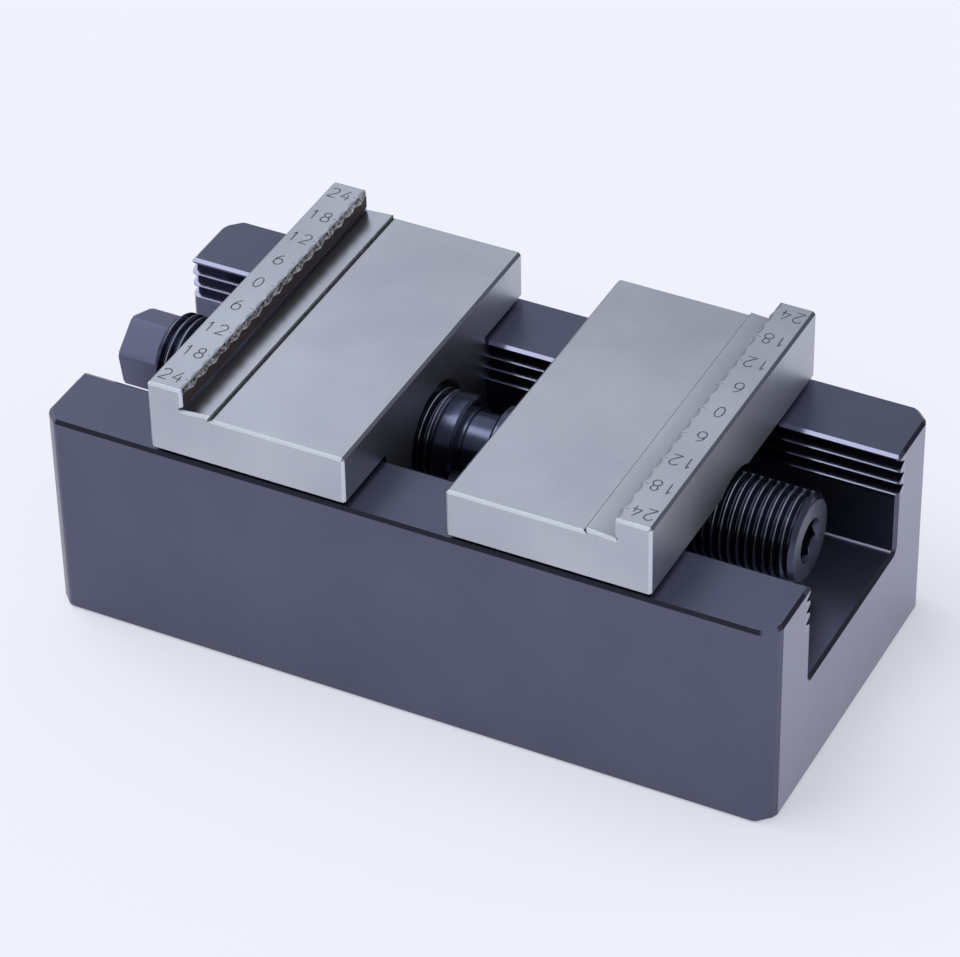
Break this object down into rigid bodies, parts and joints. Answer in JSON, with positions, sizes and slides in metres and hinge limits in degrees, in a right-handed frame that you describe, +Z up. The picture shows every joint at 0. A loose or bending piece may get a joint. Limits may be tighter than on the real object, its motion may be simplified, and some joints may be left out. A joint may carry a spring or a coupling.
{
  "type": "self-centering vise",
  "caption": "Small self-centering vise: two toothed step jaws in a channelled steel block, drawn to the middle together by one screw.",
  "frame": {"origin": "middle of the block's underside", "axes": "+X along the screw from its hexagon to its socket, +Y across the jaws to the back rail, +Z up"},
  "size_m": [0.1104, 0.0538, 0.0444],
  "materials": {
    "black_oxide_steel": "fine-milled steel, blue-black oxide",
    "ground_steel": "hardened steel, surface ground, bare",
    "oiled_screw_steel": "turned steel, black oxide, oiled",
    "fastener_steel": "black fastener steel"
  },
  "bodies": {
    "body": {"vise_body": "black_oxide_steel", "centre_yoke": "black_oxide_steel", "yoke_screws": "fastener_steel", "yoke_dowels": "fastener_steel"},
    "screw": {"lead_screw": "oiled_screw_steel"},
    "left_slide": {"left_jaw": "ground_steel"},
    "right_slide": {"right_jaw": "ground_steel"}
  },
  "joints": [
    {"name": "left_jaw_travel", "type": "slide", "parent": "body", "child": "left_slide", "axis": [1, 0, 0], "range_m": [-0.015, 0.005]},
    {"name": "right_jaw_travel", "type": "slide", "parent": "body", "child": "right_slide", "axis": [-1, 0, 0], "range_m": [-0.015, 0.005]},
    {"name": "screw_spin", "type": "hinge", "parent": "body", "child": "screw", "pos_m": [0, 0, 0.02725], "axis": [1, 0, 0], "range_deg": [-4320, 1440]}
  ],
  "couplings": [
    {"joint": "right_jaw_travel", "follows": "left_jaw_travel", "ratio": 1},
    {"joint": "screw_spin", "follows": "left_jaw_travel", "rad_per_m": 5026.5}
  ]
}
